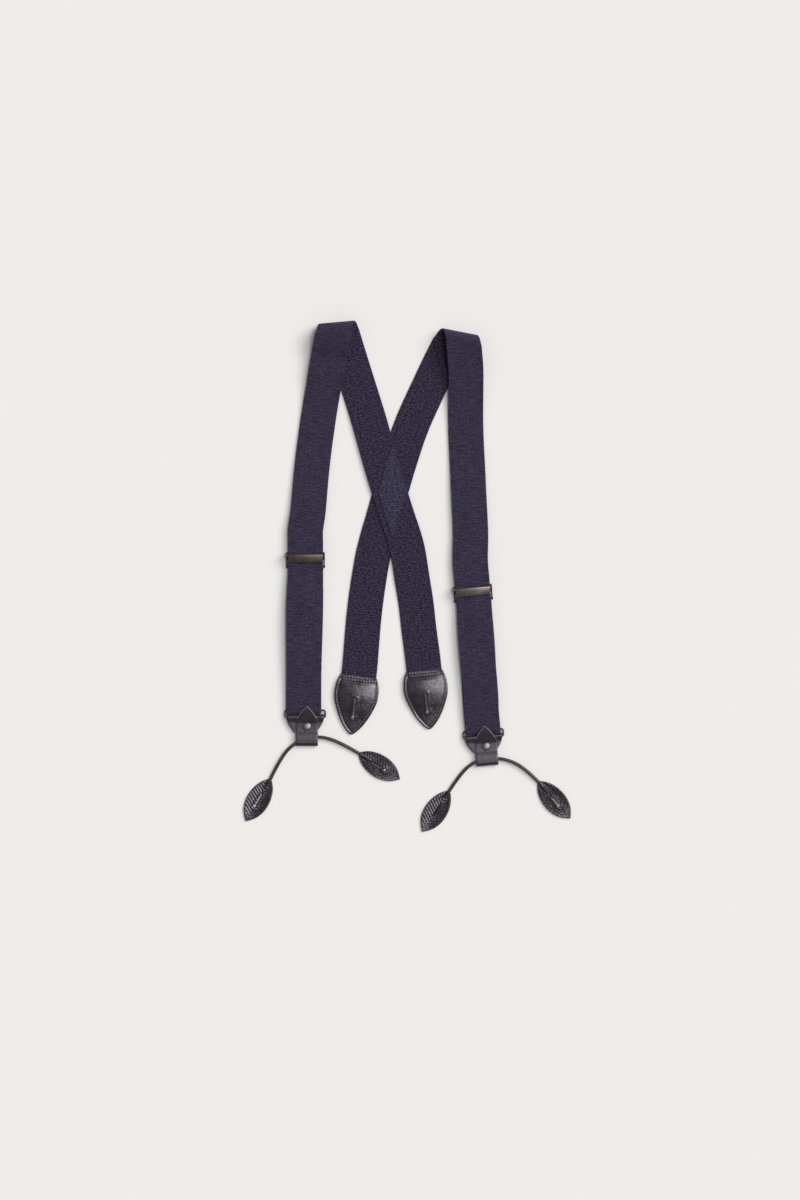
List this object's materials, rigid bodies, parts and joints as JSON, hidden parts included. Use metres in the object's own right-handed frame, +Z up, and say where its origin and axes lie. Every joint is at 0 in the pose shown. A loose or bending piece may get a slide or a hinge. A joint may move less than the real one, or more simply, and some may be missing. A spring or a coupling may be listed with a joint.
{
  "type": "button-on dress braces",
  "caption": "Crossed-back button braces of wide webbing with lever adjusters, wire rings, leather ends with keyhole buttonholes, and sliding corded runners.",
  "frame": {"origin": "under the middle of the laid-out object, on the table", "axes": "+Y from the buttonhole ends towards the shoulder folds, +Z up off the table, +X to the side of the strap that lies under at the crossing"},
  "size_m": [0.3272, 0.5105, 0.0196],
  "materials": {
    "webbing": "woven, matte, charcoal with a violet cast",
    "leather": "smooth, semi-gloss, black",
    "thread": "matte thread, black",
    "bronze": "antique bronze plate, satin",
    "gunmetal": "polished gunmetal"
  },
  "bodies": {
    "back": {"left_strap_back_run": "webbing", "right_strap_back_run": "webbing", "crossing_patch": "webbing", "crossing_stitching": "thread", "left_back_tab_face": "leather", "left_back_tab_lining": "leather", "left_back_tab_stitching": "thread", "right_back_tab_face": "leather", "right_back_tab_lining": "leather", "right_back_tab_stitching": "thread"},
    "front_left": {"left_strap_shoulder_bend": "webbing", "left_strap_front_run": "webbing", "left_strap_lower_run": "webbing"},
    "loop_left": {"left_strap_ring_turn": "webbing", "left_strap_return_run": "webbing"},
    "adjuster_left": {"left_adjuster_frame": "bronze", "left_adjuster_rear_bar": "bronze", "left_adjuster_pivot_pin": "bronze", "left_strap_tail_fold": "webbing", "left_tail_stitching": "thread"},
    "lever_left": {"left_adjuster_lever": "bronze"},
    "ring_left": {"left_ring": "bronze"},
    "yoke_left": {"left_yoke": "leather", "left_loop_tab": "leather", "left_rivet_cap": "gunmetal", "left_rivet_post": "gunmetal"},
    "runner_left": {"left_runner_cord": "leather", "left_leaf_outer": "leather", "left_leaf_inner": "leather"},
    "front_right": {"right_strap_shoulder_bend": "webbing", "right_strap_front_run": "webbing", "right_strap_lower_run": "webbing"},
    "loop_right": {"right_strap_ring_turn": "webbing", "right_strap_return_run": "webbing"},
    "adjuster_right": {"right_adjuster_frame": "bronze", "right_adjuster_rear_bar": "bronze", "right_adjuster_pivot_pin": "bronze", "right_strap_tail_fold": "webbing", "right_tail_stitching": "thread"},
    "lever_right": {"right_adjuster_lever": "bronze"},
    "ring_right": {"right_ring": "bronze"},
    "yoke_right": {"right_yoke": "leather", "right_loop_tab": "leather", "right_rivet_cap": "gunmetal", "right_rivet_post": "gunmetal"},
    "runner_right": {"right_runner_cord": "leather", "right_leaf_outer": "leather", "right_leaf_inner": "leather"}
  },
  "joints": [
    {"name": "shoulder_fold_left", "type": "hinge", "parent": "back", "child": "front_left", "pos_m": [-0.06967, 0.25113, 0.0098], "axis": [-0.9962, -0.0872, 0], "range_deg": [0, 165], "deforming": ["left_strap_shoulder_bend"]},
    {"name": "loop_slide_left", "type": "slide", "parent": "front_left", "child": "loop_left", "axis": [0, 1, 0], "range_m": [-0.11, 0.004], "deforming": ["left_strap_lower_run"]},
    {"name": "adjuster_slide_left", "type": "slide", "parent": "loop_left", "child": "adjuster_left", "axis": [0, 1, 0], "range_m": [-0.11, 0.004], "deforming": ["left_strap_return_run"]},
    {"name": "lever_left", "type": "hinge", "parent": "adjuster_left", "child": "lever_left", "pos_m": [-0.10164, 0.02106, 0.009], "axis": [-1, 0, 0], "range_deg": [0, 95]},
    {"name": "ring_left", "type": "hinge", "parent": "loop_left", "child": "ring_left", "pos_m": [-0.10164, -0.13374, 0.003], "axis": [-1, 0, 0], "range_deg": [0, 90]},
    {"name": "yoke_left", "type": "hinge", "parent": "ring_left", "child": "yoke_left", "pos_m": [-0.10164, -0.14094, 0.003], "axis": [-1, 0, 0], "range_deg": [0, 60], "deforming": ["left_loop_tab"]},
    {"name": "runner_left", "type": "hinge", "parent": "yoke_left", "child": "runner_left", "pos_m": [-0.0892, -0.20341, 0.0032], "axis": [0, 0, 1], "range_deg": [-34, 14], "deforming": ["left_runner_cord"]},
    {"name": "shoulder_fold_right", "type": "hinge", "parent": "back", "child": "front_right", "pos_m": [0.05283, 0.24143, 0.0098], "axis": [-0.9816, 0.1908, 0], "range_deg": [0, 165], "deforming": ["right_strap_shoulder_bend"]},
    {"name": "loop_slide_right", "type": "slide", "parent": "front_right", "child": "loop_right", "axis": [-0.0747, 0.9972, 0], "range_m": [-0.1, 0.004], "deforming": ["right_strap_lower_run"]},
    {"name": "adjuster_slide_right", "type": "slide", "parent": "loop_right", "child": "adjuster_right", "axis": [-0.0747, 0.9972, 0], "range_m": [-0.1, 0.004], "deforming": ["right_strap_return_run"]},
    {"name": "lever_right", "type": "hinge", "parent": "adjuster_right", "child": "lever_right", "pos_m": [0.06522, -0.01205, 0.009], "axis": [-0.9962, -0.0872, 0], "range_deg": [0, 95]},
    {"name": "ring_right", "type": "hinge", "parent": "loop_right", "child": "ring_right", "pos_m": [0.07586, -0.15364, 0.003], "axis": [-0.9962, -0.0872, 0], "range_deg": [0, 90]},
    {"name": "yoke_right", "type": "hinge", "parent": "ring_right", "child": "yoke_right", "pos_m": [0.07649, -0.16081, 0.003], "axis": [-0.9962, -0.0872, 0], "range_deg": [0, 60], "deforming": ["right_loop_tab"]},
    {"name": "runner_right", "type": "hinge", "parent": "yoke_right", "child": "runner_right", "pos_m": [0.08826, -0.22674, 0.0032], "axis": [0, 0, 1], "range_deg": [-34, 34], "deforming": ["right_runner_cord"]}
  ],
  "couplings": [
    {"joint": "adjuster_slide_left", "follows": "loop_slide_left", "ratio": 1},
    {"joint": "adjuster_slide_right", "follows": "loop_slide_right", "ratio": 1}
  ]
}
